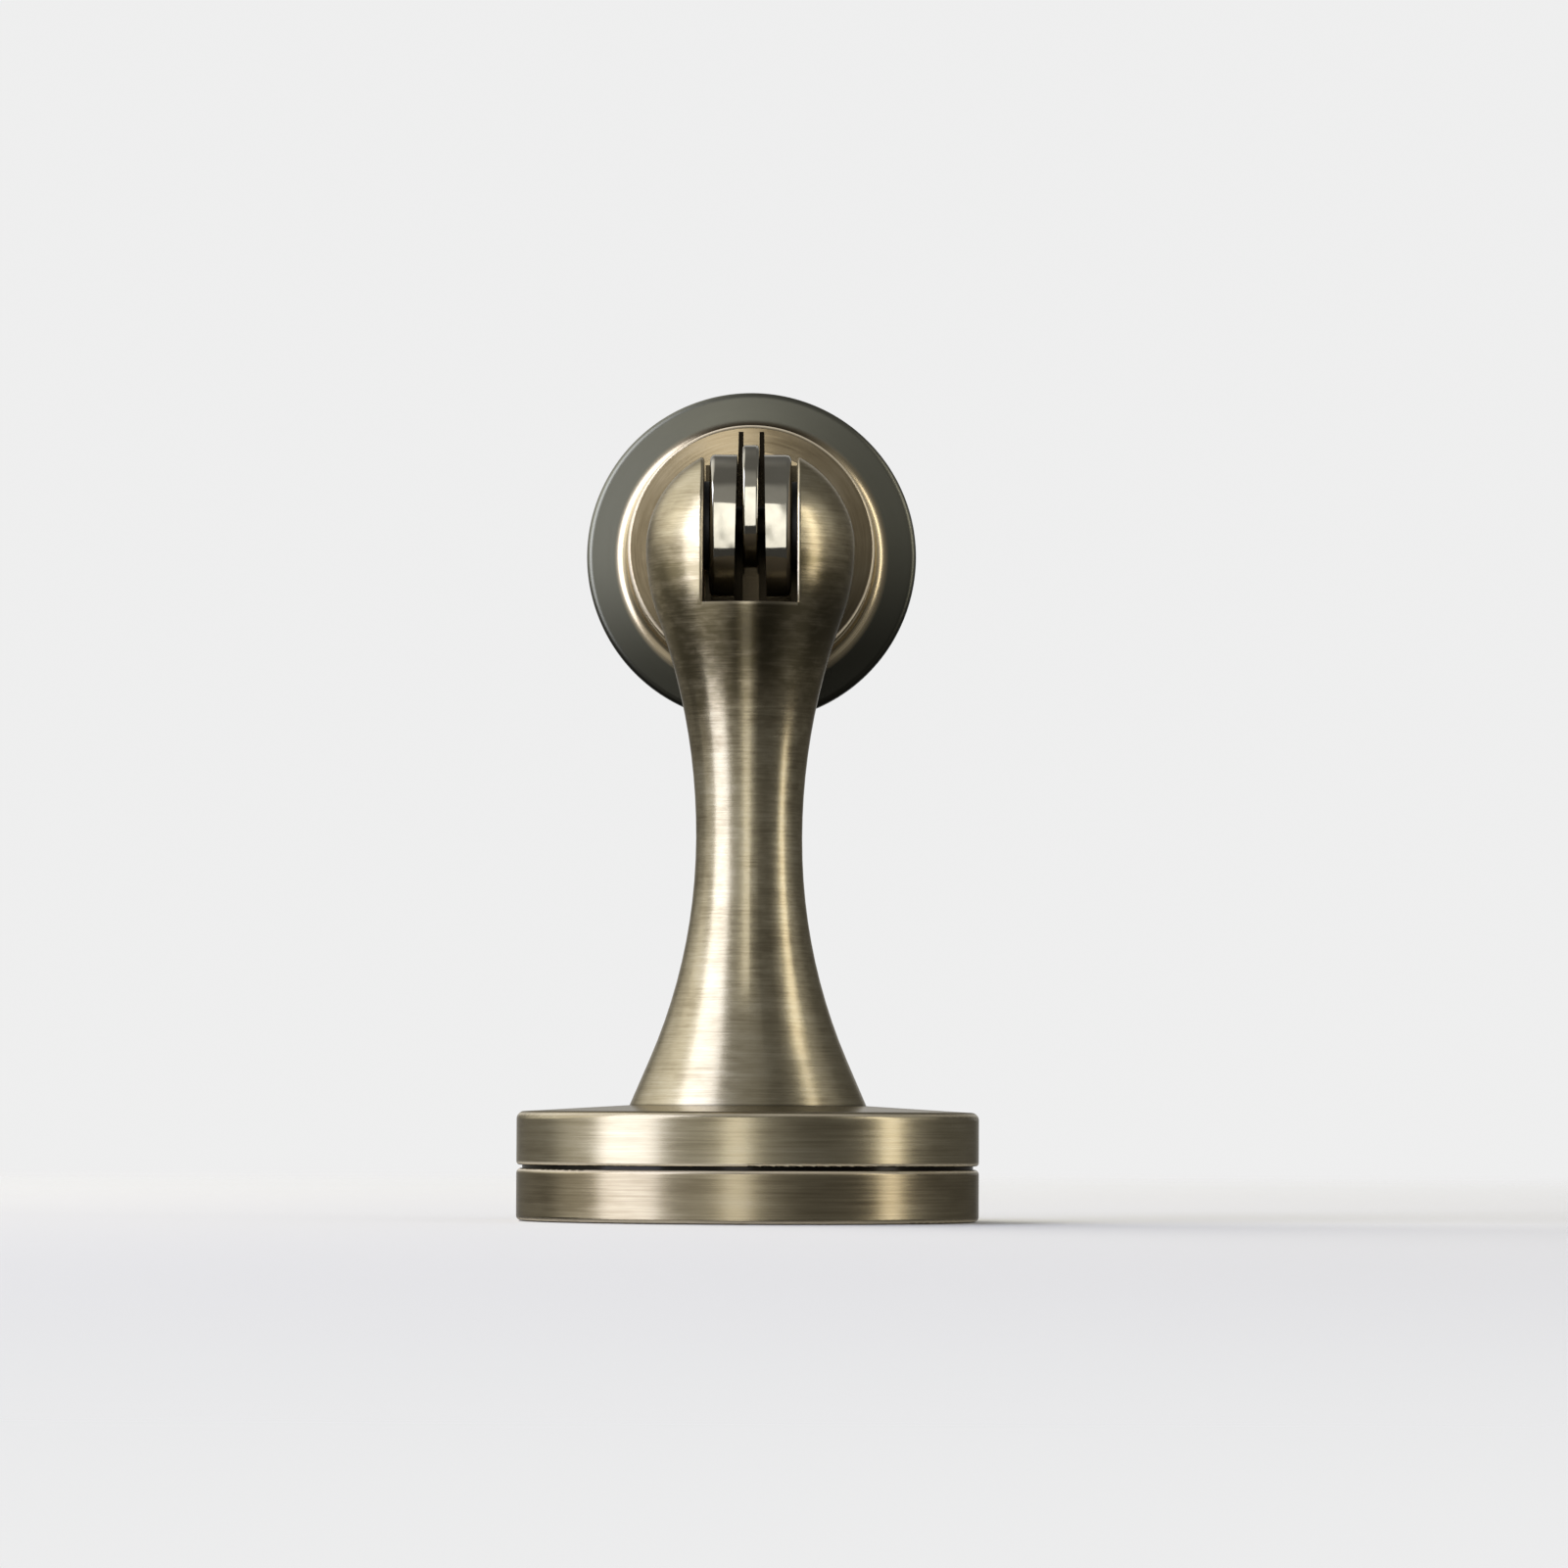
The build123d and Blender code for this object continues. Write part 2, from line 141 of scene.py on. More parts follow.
class Finish(NodeTree):
    # one material and its node tree
    def __init__(self, name):
        self.material = bpy.data.materials.new(name)
        self.material.use_nodes = True
        super().__init__(self.material.node_tree)

    def mixColor(self, factor, first, second, blend="MIX"):
        first, second = ((*c, 1) if isinstance(c, tuple) and len(c) == 3 else c for c in (first, second))
        return self.node("ShaderNodeMix", {"data_type": "RGBA", "blend_type": blend},
                         {0: factor, 6: first, 7: second}, out=2)

    def scaled(self, color, factor):
        # a colour made darker or lighter by a number that varies
        return self.node("ShaderNodeVectorMath", {"operation": "SCALE"}, {0: color, "Scale": factor})

    def smooth(self, value, low, high):
        # 0 below low, 1 above high, eased between
        return self.node("ShaderNodeMapRange", {"interpolation_type": "SMOOTHSTEP"},
                         {"Value": value, "From Min": low, "From Max": high})

    def near(self, value, target, width):
        # 1 where value is at target, 0 a width away
        return 1 - self.smooth(abs(value - target), 0, width)

    def beside(self, value, corner, inset, width):
        # 1 on a line that lies an inset short of a corner, 0 a width away from the line
        return self.near(value, corner - inset, width)

    def surface(self, **sockets):
        shader = self.node("ShaderNodeBsdfPrincipled",
                           inputs={key.replace("_", " "): value for key, value in sockets.items()})
        self.node("ShaderNodeOutputMaterial", inputs={"Surface": shader})
        return self.material


class Turning:
    # millimetres in a lathe's own terms: along the axis, out from it, and round it
    def __init__(self, finish, centre, axis):
        self.finish = finish
        point = finish.node("ShaderNodeTexCoord", out="Object")
        offset = finish.node("ShaderNodeVectorMath", {"operation": "SUBTRACT"}, {0: point, 1: centre})
        self.point = finish.scaled(offset, 1 / millimetre)
        self.x, y, self.z = (finish.node("ShaderNodeSeparateXYZ", inputs={0: self.point}, out=part)
                             for part in range(3))
        self.up, self.along = (y, self.z) if axis == "Z" else (self.z, y)
        self.radius = (self.x * self.x + self.up * self.up) ** 0.5 + 0.001  # never 0, to divide by

    def rings(self, perMillimetre, turns, detail, seed):
        # noise drawn out round the axis, as a tool or a brush leaves it
        direction = self.finish.node("ShaderNodeCombineXYZ", inputs={
            0: self.x / self.radius * turns,
            1: self.up / self.radius * turns,
            2: self.along * perMillimetre,
        })
        return self.finish.node("ShaderNodeTexNoise", {"noise_dimensions": "4D"}, {
            "Vector": direction, "W": self.radius * perMillimetre + seed,
            "Scale": 1.0, "Detail": detail, "Roughness": 0.6,
        })


def varied(level, noise, amount):
    # a level that noise, which lies round 0.5, moves up and down
    return level + (noise - 0.5) * amount


# What all the brass here shares: antique brass, turned, brushed in rings and lacquered
brass = {
    "brown": (0.230, 0.190, 0.105),
    "dark": (0.365, 0.305, 0.190),
    "middle": (0.485, 0.418, 0.272),
    "light": (0.600, 0.532, 0.375),
    "stops": {"brown": 0.30, "dark": 0.41, "middle": 0.50, "light": 0.62},
    # worn brass at the edges, which also stands for a painted highlight there
    "wearAndSheen": (0.920, 0.800, 0.580),
    # near black, painted as shade in crevices, seams, grooves and gaps
    "crevice": (0.010, 0.008, 0.005),
    "tone": 0.10,
    "roughness": 0.235,
    # brush marks as rings takes them, and what each adds to the tone, the roughness and the depth
    "marks": {
        "lines": {"rings": (4.5, 1.6, 3.0, 0.0), "tone": 0.26, "roughness": 0.10, "depth": 0.45},
        "fine": {"rings": (13.5, 4.0, 2.0, 7.0), "tone": 0.16, "roughness": 0.0, "depth": 0.35},
        "patches": {"rings": (0.35, 1.8, 3.0, 21.0), "tone": 0.38, "roughness": 0.12, "depth": 0.20},
    },
    "brushDepth": 0.006,
    "brushing": 0.5,
    "anisotropy": 0.45,
    "edgeMetallic": 0.2,
    "grazingTint": (0.70, 0.66, 0.58),
    "lacquer": 0.25,
    "lacquerRoughness": 0.12,
}


def turnedBrass(finish, turning, tarnish=0.0, tint=(1.0, 1.0, 1.0)):
    # colour, roughness and depth of the marks; tarnish moves the tone towards brown
    tone, roughness, depth = brass["tone"], brass["roughness"], 0.0
    for mark in brass["marks"].values():
        noise = turning.rings(*mark["rings"])
        tone = tone + noise * mark["tone"]
        roughness = varied(roughness, noise, mark["roughness"])
        depth = depth + noise * mark["depth"]
    color = finish.node("ShaderNodeValToRGB", {
        "stops": [(place, brass[name]) for name, place in brass["stops"].items()]}, {0: tone - tarnish})
    return finish.mixColor(1.0, color, tint, "MULTIPLY"), roughness, depth


def brushMarks(finish, depth, strength=brass["brushing"]):
    return finish.node("ShaderNodeBump", inputs={
        "Strength": strength, "Distance": brass["brushDepth"] * millimetre, "Height": depth})


def lacquered(finish, color, metallic, roughness, normal, coat):
    # brushed in rings, and less bright at a grazing angle than bare metal
    return finish.surface(Base_Color=color, Metallic=metallic, Roughness=roughness, Normal=normal,
                          Specular_Tint=(*brass["grazingTint"], 1), Anisotropic=brass["anisotropy"],
                          Coat_Weight=coat, Coat_Roughness=brass["lacquerRoughness"])


# Column: foot flange, neck and slotted bulb
column = {
    "footRadius": 24.0,
    "seamHeight": 5.75,
    "flangeTop": 11.25,
    "neckFoot": 11.95,
    "neckFootRadius": 12.3,
    "slotFloor": 63.75,
    # worn edges with a painted highlight, and painted highlights on the slot's lip and edges: how far short
    # of its corner each lies, past it where negative, and how far it reaches
    "rimEdge": (0.10, 0.30),
    "topEdge": (0.15, 0.35),
    "seamEdge": (-0.20, 0.25),
    "lipEdge": (0.12, 0.30),
    "arrisEdge": (-0.12, 0.22),
    "rimWearAndSheen": 0.8,
    "lipHighlight": 0.5,
    "arrisHighlight": 0.8,
    # patina of the throat, mottled: the height where it is deepest and how far it reaches
    "throatBand": (61.0, 17.0),
    "throatTarnish": 0.18,
    "mottle": 0.50,
    "mottleRings": (0.9, 3.5, 2.0, 40.0),
    # painted shade under the slot, and a painted lean, lighter to the left and darker to the right, in a band
    "underSlotBand": (61.0, 8.0),
    "underSlotAcross": 5.2,
    "underSlotShade": 0.50,
    "paintedLeanBand": (63.0, 8.0),
    "paintedLean": 0.60,
    # the bulb, rubbed brighter
    "bulbFoot": (59.0, 68.0),
    "bulbRub": 1.34,
    # the flat top of the flange is duller, and isn't lacquered
    "topDepth": 0.1,
    "topStart": 1.0,
    "topShade": 0.48,
    "topRoughness": 0.68,
    # painted shade round the foot of the neck and under the flange
    "cornerReach": 0.35,
    "cornerShade": 0.5,
    "undersideDepth": 0.12,
    "shadeFade": (0.1, 0.9),
    # the slot's inside: painted dark as shade, less metallic and rougher; how far the lip and walls reach
    "slotColor": (0.160, 0.130, 0.085),
    "slotMetallic": 0.7,
    "slotRoughness": 0.40,
    "lipReach": 0.1,
    "wallDepth": 0.03,
    "floorDepth": 0.02,
}


def columnFinish():
    finish = Finish("columnBrass")
    turning = Turning(finish, stemCentre, "Z")
    z, radius, across = turning.z, turning.radius, abs(turning.x)
    mottling = (0.5 - turning.rings(*column["mottleRings"])) * column["mottle"]
    tarnish = finish.near(z, *column["throatBand"]) * (column["throatTarnish"] + mottling)
    color, roughness, depth = turnedBrass(finish, turning, tarnish)
    top = finish.near(z, column["flangeTop"], column["topDepth"]) * finish.smooth(
        radius, column["neckFootRadius"], column["neckFootRadius"] + column["topStart"])
    bulb = finish.smooth(z, *column["bulbFoot"])
    # painted shade under the slot, and a painted lean: lighter to the left, darker to the right
    underSlot = finish.near(turning.x, 0, column["underSlotAcross"]) * finish.near(
        z, *column["underSlotBand"])
    paintedLeaning = 1 - finish.near(z, *column["paintedLeanBand"]) * turning.x / radius * column["paintedLean"]
    color = finish.scaled(color, (1 - underSlot * column["underSlotShade"]) * paintedLeaning * (
        1 - top * (1 - column["topShade"]) + bulb * (column["bulbRub"] - 1)))
    # painted shade round the foot of the neck and under the flange
    corner = finish.near(radius, column["neckFootRadius"], column["cornerReach"]) * finish.near(
        z, column["neckFoot"], column["cornerReach"])
    underside = 1 - finish.smooth(z, column["seamHeight"], column["seamHeight"] + column["undersideDepth"])
    paintedShade = finish.smooth(corner * column["cornerShade"] + underside, *column["shadeFade"])
    color = finish.mixColor(paintedShade, color, brass["crevice"])
    # worn rim edges with a painted highlight
    rim = finish.beside(radius, column["footRadius"], *column["rimEdge"]) * (
        finish.beside(z, column["flangeTop"], *column["topEdge"])
        + finish.beside(z, column["seamHeight"], *column["seamEdge"])).clamped()
    color = finish.mixColor(rim * column["rimWearAndSheen"], color, brass["wearAndSheen"])
    # painted highlights along the slot's lip and edges
    lip = finish.beside(z, column["slotFloor"], *column["lipEdge"]) * (
        across < slotHalfWidth + column["lipReach"])
    arris = finish.beside(across, slotHalfWidth, *column["arrisEdge"]) * (z > column["slotFloor"])
    wearAndSheen = (lip * column["lipHighlight"] + arris * column["arrisHighlight"]).clamped()
    color = finish.mixColor(wearAndSheen, color, brass["wearAndSheen"])
    # the slot's inside painted dark, as shade
    inSlot = (across < slotHalfWidth + column["wallDepth"]) * (
        z > column["slotFloor"] - column["floorDepth"])
    color = finish.mixColor(inSlot, color, column["slotColor"])
    metallic = 1 - rim * (1 - brass["edgeMetallic"]) - inSlot * (1 - column["slotMetallic"])
    roughness = (roughness * (1 - inSlot) * (1 - top) + column["slotRoughness"] * inSlot
                 + column["topRoughness"] * top)
    return lacquered(finish, color, metallic, roughness, brushMarks(finish, depth * (1 - inSlot)),
                     (1 - top) * brass["lacquer"])


# Base plate: a worn rim with a painted highlight, the land in the seam painted dark as shade, and a rougher
# underside painted darker as shade
foot = {
    "radius": 24.0,
    "thickness": 5.4,
    "tarnish": 0.035,
    "tint": (0.90, 0.88, 0.86),
    "rimEdge": (0.12, 0.35),
    "topEdge": (0.12, 0.35),
    "floorEdge": (-0.10, 0.40),
    "rimWearAndSheen": 0.8,
    "seamStart": 0.04,
    "seamEnd": 0.02,
    "underside": (0.02, 0.10),
    "undersideShade": 0.7,
    "undersideRoughness": 0.15,
}


def footFinish():
    finish = Finish("baseBrass")
    turning = Turning(finish, stemCentre, "Z")
    z = turning.z
    color, roughness, depth = turnedBrass(finish, turning, foot["tarnish"], foot["tint"])
    # a worn rim with a painted highlight
    rim = finish.beside(turning.radius, foot["radius"], *foot["rimEdge"]) * (
        finish.beside(z, foot["thickness"], *foot["topEdge"])
        + finish.beside(z, 0, *foot["floorEdge"])).clamped()
    color = finish.mixColor(rim * foot["rimWearAndSheen"], color, brass["wearAndSheen"])
    # the land in the seam painted near black, as shade
    seam = finish.smooth(z, foot["thickness"] - foot["seamStart"], foot["thickness"] + foot["seamEnd"])
    color = finish.mixColor(seam, color, brass["crevice"])
    # the underside painted darker, as shade
    below = 1 - finish.smooth(z, *foot["underside"])
    color = finish.mixColor(below * foot["undersideShade"], color, brass["dark"])
    return lacquered(finish, color, 1 - rim * (1 - brass["edgeMetallic"]),
                     roughness + below * foot["undersideRoughness"], brushMarks(finish, depth),
                     brass["lacquer"])


# A round face seen along Y, painted lighter above and to the left: how much height counts, and the slopes
# where the painted light starts and is full
paintedLightSlopes = {"upward": 0.9, "starts": -0.7, "full": 0.2}


def paintedUpperLeftLight(finish, turning, radius, least, paintedLean):
    # painted light: lighter above and to the left, with painted shade below and to the right
    slope = (turning.up * paintedLightSlopes["upward"] - turning.x * paintedLean) / radius
    return least + (1 - least) * finish.smooth(slope, paintedLightSlopes["starts"], paintedLightSlopes["full"])


# Magnet holder: ring-brushed cup and a brightly polished lug
holder = {
    "cupDepth": 5.6,
    "cupRadius": 13.1,
    "landRadius": 10.2,
    "cupFall": 0.5,
    "cupTint": (0.98, 0.91, 0.85),
    # painted light on the cup's face, lighter above and to the left: the least of it, its lean, and how deep
    # the face it falls on reaches
    "paintedLightLeast": 0.36,
    "paintedLightLean": 0.20,
    "backFace": (0.7, 1.2),
    # a worn rim with a painted highlight
    "rimEdge": (0.10, 0.30),
    "frontEdge": (-0.15, 0.40),
    "rimWearAndSheen": 0.9,
    # sawn grooves beside the middle rib: across, up and down the face, and into it
    "grooveInside": 0.83,
    "grooveOutside": 1.75,
    "grooveTop": 83.35 - headHeight,
    "grooveFoot": 62.3 - headHeight,
    "grooveStart": 0.05,
    "grooveEnd": 1.05,
    # shade on the face in the gaps beside the ears
    "earTop": 79.7 - headHeight,
    "lugFoot": 64.0 - headHeight,
    "gapShade": 0.9,
    "gapDepth": 0.03,
    # the lug in front of the face: nickel bright, smudged, and not quite flat
    "lugStart": 0.02,
    "lugColor": (0.74, 0.70, 0.58),
    "lugSmudge": (0.42, 0.38, 0.28),
    "smudge": 0.5,
    "smudgeRings": (0.8, 2.0, 3.0, 3.0),
    "smudgeRoughness": 0.05,
    "lugRoughness": 0.09,
    "wavePerMillimetre": 0.28,
    "waveHeight": 0.07,
}


def holderFinish():
    finish = Finish("holderBrass")
    turning = Turning(finish, headCentre, "Y")
    along, up, across = turning.along, turning.up, abs(turning.x)
    color, roughness, depth = turnedBrass(finish, turning, tint=holder["cupTint"])
    cupFront = cupHigh.y / millimetre - holder["cupDepth"]
    # painted light on the cup's face: lighter above and to the left, darker below and to the right
    backFace = 1 - finish.smooth(along, *(cupFront + reach for reach in holder["backFace"]))
    paintedLighting = paintedUpperLeftLight(finish, turning, holder["cupRadius"], holder["paintedLightLeast"], holder["paintedLightLean"])
    color = finish.mixColor(backFace, color, finish.scaled(color, paintedLighting))
    # a worn rim with a painted highlight
    edge = finish.beside(turning.radius, holder["cupRadius"], *holder["rimEdge"]) * finish.beside(
        along, cupFront + holder["cupFall"], *holder["frontEdge"])
    color = finish.mixColor(edge * holder["rimWearAndSheen"], color, brass["wearAndSheen"])
    lug = along < cupFront - holder["lugStart"]
    smudge = turning.rings(*holder["smudgeRings"])
    polished = finish.mixColor(smudge * holder["smudge"], holder["lugColor"], holder["lugSmudge"])
    color = finish.mixColor(lug, color, polished)
    slope = ((turning.radius - holder["landRadius"]) / (holder["cupRadius"] - holder["landRadius"])).clamped()
    faceHere = cupFront + slope * holder["cupFall"]
    inGroove = (across > holder["grooveInside"]) * (across < holder["grooveOutside"]) * (
        along > faceHere + holder["grooveStart"]) * (along < cupFront + holder["grooveEnd"]) * (
        up < holder["grooveTop"]) * (up > holder["grooveFoot"])
    besideLug = (across < slotHalfWidth) * (along > cupFront - holder["gapDepth"]) * (
        up < holder["earTop"]) * (up > holder["lugFoot"])
    # the grooves and the gaps beside the ears painted near black, as shade
    color = finish.mixColor((inGroove + besideLug * holder["gapShade"]).clamped(), color, brass["crevice"])
    polish = varied(holder["lugRoughness"], smudge, holder["smudgeRoughness"])
    wave = finish.node("ShaderNodeTexNoise", inputs={
        "Vector": turning.point, "Scale": holder["wavePerMillimetre"], "Detail": 1.0})
    waved = finish.node("ShaderNodeBump", inputs={
        "Strength": 1.0, "Distance": holder["waveHeight"] * millimetre, "Height": wave * lug,
        "Normal": brushMarks(finish, depth * (1 - lug))})
    return finish.surface(Base_Color=color, Metallic=1 - edge * (1 - brass["edgeMetallic"]),
                          Roughness=roughness * (1 - lug) + polish * lug, Normal=waved)


# Rose on the door: greyer and more matt than the stand
rose = {
    "color": (0.262, 0.256, 0.198),
    "patch": 0.5,
    "patchShade": 0.7,
    "patchRings": (0.3, 1.5, 4.0, 5.0),
    "patchRoughness": 0.12,
    "lineRings": (6.0, 1.5, 2.0, 11.0),
    "lineRoughness": 0.10,
    "roughness": 0.38,
    "brushing": 0.25,
    # painted light on the flange, lighter above and to the left: the least of it, its lean, and how deep it
    # reaches
    "paintedLightLeast": 0.26,
    "paintedLightLean": 0.15,
    "paintedLightDepth": (0.4, 1.0),
    # the cove between neck and flange is polished, with a painted highlight at its sides: where it fades, and
    # its painted shade above and below
    "coveColor": (0.800, 0.660, 0.425),
    "coveShade": (0.120, 0.090, 0.055),
    "coveFade": (-0.9, -0.2),
    "coveShading": (0.75, 0.98),
    "covePolish": 0.12,
    "turns": 192,
    "roundSteps": 12,
    # distances from the stem's axis
    "front": 18.0,
    "recessFloor": 20.4,
    "recessBack": 21.6,
    "wellFloor": 22.0,
    "flangeFront": 22.0,
    "flangeEdge": 22.8,
    "webBack": 23.0,
    "plateSeat": 23.5,
    "doorFace": 25.5,
    # radii round the magnet's axis
    "boreRadius": 2.05,
    "wellRadius": 4.25,
    "wellOuterRadius": 5.45,
    "wallRadius": 11.1,
    "recessRadius": 12.3,
    "neckRadius": 13.2,
    "plateRadius": 14.8,
    "rimRadius": 17.7,
    # roundings of the section's corners
    "lipRound": 0.3,
    "coveRound": 1.8,
    "flangeRound": 0.8,
    "backRound": 0.3,
}
# the section, corner by corner: distance, radius and rounding
roseSection = [
    ("webBack", "boreRadius", ""), ("wellFloor", "boreRadius", ""), ("wellFloor", "wellRadius", ""),
    ("recessFloor", "wellRadius", ""), ("recessFloor", "recessRadius", ""), ("front", "recessRadius", ""),
    ("front", "neckRadius", "lipRound"), ("flangeFront", "neckRadius", "coveRound"),
    ("flangeEdge", "rimRadius", "flangeRound"), ("doorFace", "rimRadius", "backRound"),
    ("doorFace", "plateRadius", ""), ("plateSeat", "plateRadius", ""), ("plateSeat", "recessRadius", ""),
    ("recessBack", "wallRadius", ""), ("recessBack", "wellOuterRadius", ""),
    ("webBack", "wellOuterRadius", ""),
]


def roseFinish():
    finish = Finish("roseBrass")
    turning = Turning(finish, headCentre, "Y")
    patches = turning.rings(*rose["patchRings"])
    lines = turning.rings(*rose["lineRings"])
    color = finish.mixColor(patches * rose["patch"], rose["color"],
                            tuple(c * rose["patchShade"] for c in rose["color"]))
    # painted light on the flange: lighter above and to the left, darker below and to the right
    face = 1 - finish.smooth(turning.along, *(rose["flangeEdge"] + reach for reach in rose["paintedLightDepth"]))
    paintedLighting = paintedUpperLeftLight(finish, turning, rose["rimRadius"], rose["paintedLightLeast"], rose["paintedLightLean"])
    color = finish.mixColor(face, color, finish.scaled(color, paintedLighting))
    # a painted highlight at the cove's sides and painted shade above and below it
    coveEnd = rose["neckRadius"] + rose["coveRound"]
    cove = 1 - finish.smooth(turning.radius, *(coveEnd + reach for reach in rose["coveFade"]))
    shaded = finish.smooth(abs(turning.up) / turning.radius, *rose["coveShading"])
    color = finish.mixColor(cove, color, finish.mixColor(shaded, rose["coveColor"], rose["coveShade"]))
    roughness = varied(rose["roughness"], patches, rose["patchRoughness"])
    roughness = varied(roughness, lines, rose["lineRoughness"]) - cove * rose["covePolish"]
    return finish.surface(Base_Color=color, Metallic=1.0, Roughness=roughness,
                          Normal=brushMarks(finish, lines, rose["brushing"]))


sharpAngle = 25  # degrees between two faces, past which their edge stays crisp


class Shape(NodeTree):
    # a piece made in Geometry Nodes round its own Z axis, which ends up along the door's Y.
    # Its sizes come in as named inputs, in millimetres.
    def __init__(self, name, sizes, words):
        self.name = name
        self.sizes = sizes
        super().__init__(bpy.data.node_groups.new(name, "GeometryNodeTree"))
        self.sockets = {}
        for word in words:
            kind = "NodeSocketInt" if isinstance(sizes[word], int) else "NodeSocketFloat"
            self.sockets[word] = self.tree.interface.new_socket(name=word, in_out="INPUT", socket_type=kind)
        self.tree.interface.new_socket(name="Geometry", in_out="OUTPUT", socket_type="NodeSocketGeometry")
        self.size = {word: self.node("NodeGroupInput", out=word) for word in words}

    def made(self, geometry, place, material):
        # crisp edges kept, laid along Y, and turned into a plain mesh
        sharp = self.node("GeometryNodeInputMeshEdgeAngle") > math.radians(sharpAngle)
        shaded = self.node("GeometryNodeSetShadeSmooth", {"domain": "EDGE"}, {
            "Geometry": geometry, "Selection": sharp, "Shade Smooth": False})
        laid = self.node("GeometryNodeTransform", inputs={
            "Geometry": shaded, "Rotation": (-math.pi / 2, 0, 0), "Translation": place})
        real = self.node("GeometryNodeRealizeInstances", inputs={"Geometry": laid})
        done = self.node("GeometryNodeSetMaterial", inputs={"Geometry": real, "Material": material})
        self.node("NodeGroupOutput", inputs={"Geometry": done})
        piece = bpy.data.objects.new(self.name, bpy.data.meshes.new(self.name))
        bpy.context.scene.collection.objects.link(piece)
        modifier = piece.modifiers.new(self.name, "NODES")
        modifier.node_group = self.tree
        for word, socket in self.sockets.items():
            modifier[socket.identifier] = self.sizes[word]
        mesh = bpy.data.meshes.new_from_object(piece.evaluated_get(bpy.context.evaluated_depsgraph_get()))
        piece.modifiers.remove(modifier)
        piece.data = mesh
        mesh.name = self.name
        return piece


def turnOnLathe(name, sizes, section, centre, material):
    # a section, given corner by corner, swept once round its axis
    used = sorted({word for cornerWords in section for word in cornerWords if word})
    shape = Shape(name, sizes, ["turns", "roundSteps", *used])
    size = shape.size
    pathRadius = 1 * millimetre  # the section rides on a small circle, so its radii start from there
    index = shape.node("GeometryNodeInputIndex")
    places = {0: index}
    roundings = {0: index}
    for step, (distance, radius, rounding) in enumerate(section):
        places[step + 1] = shape.node("ShaderNodeCombineXYZ", inputs={
            "X": size[radius] * millimetre - pathRadius, "Y": size[distance] * -millimetre})
        roundings[step + 1] = size[rounding] * millimetre if rounding else 0.0
    corners = shape.node("GeometryNodeCurvePrimitiveCircle", inputs={"Resolution": len(section)})
    placed = shape.node("GeometryNodeSetPosition", inputs={"Geometry": corners, "Position": shape.node(
        "GeometryNodeIndexSwitch", {"data_type": "VECTOR", "items": len(section)}, places)})
    rounded = shape.node("GeometryNodeFilletCurve", {"mode": "POLY"}, {
        "Curve": placed, "Count": size["roundSteps"], "Radius": shape.node(
            "GeometryNodeIndexSwitch", {"data_type": "FLOAT", "items": len(section)}, roundings)})
    path = shape.node("GeometryNodeCurvePrimitiveCircle", inputs={
        "Resolution": size["turns"], "Radius": pathRadius})
    swept = shape.node("GeometryNodeCurveToMesh", inputs={"Curve": path, "Profile Curve": rounded})
    return shape.made(shape.node("GeometryNodeFlipFaces", inputs={"Mesh": swept}), centre, material)


def windSpring(name, sizes, place, material):
    # flat wire wound up from place, with its corners broken
    shape = Shape(name, sizes, [
        "height", "turns", "radius", "wireWidth", "wireThickness", "wireRound", "roundSteps", "steps"])
    size = shape.size
    rise = (size["height"] - size["wireThickness"]) * millimetre
    radius = size["radius"] * millimetre
    coil = shape.node("GeometryNodeCurveSpiral", inputs={
        "Resolution": size["steps"], "Rotations": size["turns"], "Start Radius": radius, "End Radius": radius,
        "Height": rise})
    coil = shape.node("GeometryNodeSetCurveNormal", {"mode": "Z_UP"}, {"Curve": coil})
    wire = shape.node("GeometryNodeCurvePrimitiveQuadrilateral", inputs={
        "Width": size["wireWidth"] * millimetre, "Height": size["wireThickness"] * millimetre})
    wire = shape.node("GeometryNodeFilletCurve", {"mode": "POLY"}, {
        "Curve": wire, "Count": size["roundSteps"], "Radius": size["wireRound"] * millimetre})
    swept = shape.node("GeometryNodeCurveToMesh", inputs={
        "Curve": coil, "Profile Curve": wire, "Fill Caps": True})
    return shape.made(swept, place, material)


# Turned or ground steel and plate: fine rings and a little clouding
ground = {
    "rings": (7.0, 2.0, 2.0, 0.0),
    "ringRoughness": 0.12,
    "cloudsPerMillimetre": 0.5,
    "ringShare": 0.5,
    "darkest": 0.7,
    "brushing": 0.3,
}


def groundMetal(name, color, roughness, centre=headCentre, axis="Y", metallic=1.0):
    finish = Finish(name)
    turning = Turning(finish, centre, axis)
    lines = turning.rings(*ground["rings"])
    cloud = finish.node("ShaderNodeTexNoise", inputs={
        "Vector": turning.point, "Scale": ground["cloudsPerMillimetre"], "Detail": 3.0})
    lightness = lines * ground["ringShare"] + cloud * (1 - ground["ringShare"])
    mixed = finish.mixColor(lightness, tuple(c * ground["darkest"] for c in color), color)
    return finish.surface(Base_Color=mixed, Metallic=metallic,
                          Roughness=varied(roughness, lines, ground["ringRoughness"]),
                          Normal=brushMarks(finish, lines, ground["brushing"]))


# Cross pin: dressed ends as bright as the bulb, and a rougher shank painted near black as shade
pin = {"shankReach": 0.03, "shankRoughness": 0.2}


def pinFinish():
    finish = Finish("pinBrass")
    turning = Turning(finish, pinCentre, "Z")
    color, roughness, depth = turnedBrass(finish, turning)
    # the shank painted near black, as shade in the slot
    shank = abs(turning.x) < slotHalfWidth + pin["shankReach"]
    color = finish.mixColor(shank, color, brass["crevice"])
    return finish.surface(Base_Color=color, Metallic=1.0, Roughness=roughness + shank * pin["shankRoughness"],
                          Normal=brushMarks(finish, depth))


# Rubber and nylon: matt, with a fine grain
moulded = {"lightest": 2.2, "grainHeight": 0.02, "grainStrength": 0.4, "grainRoughness": 0.2}


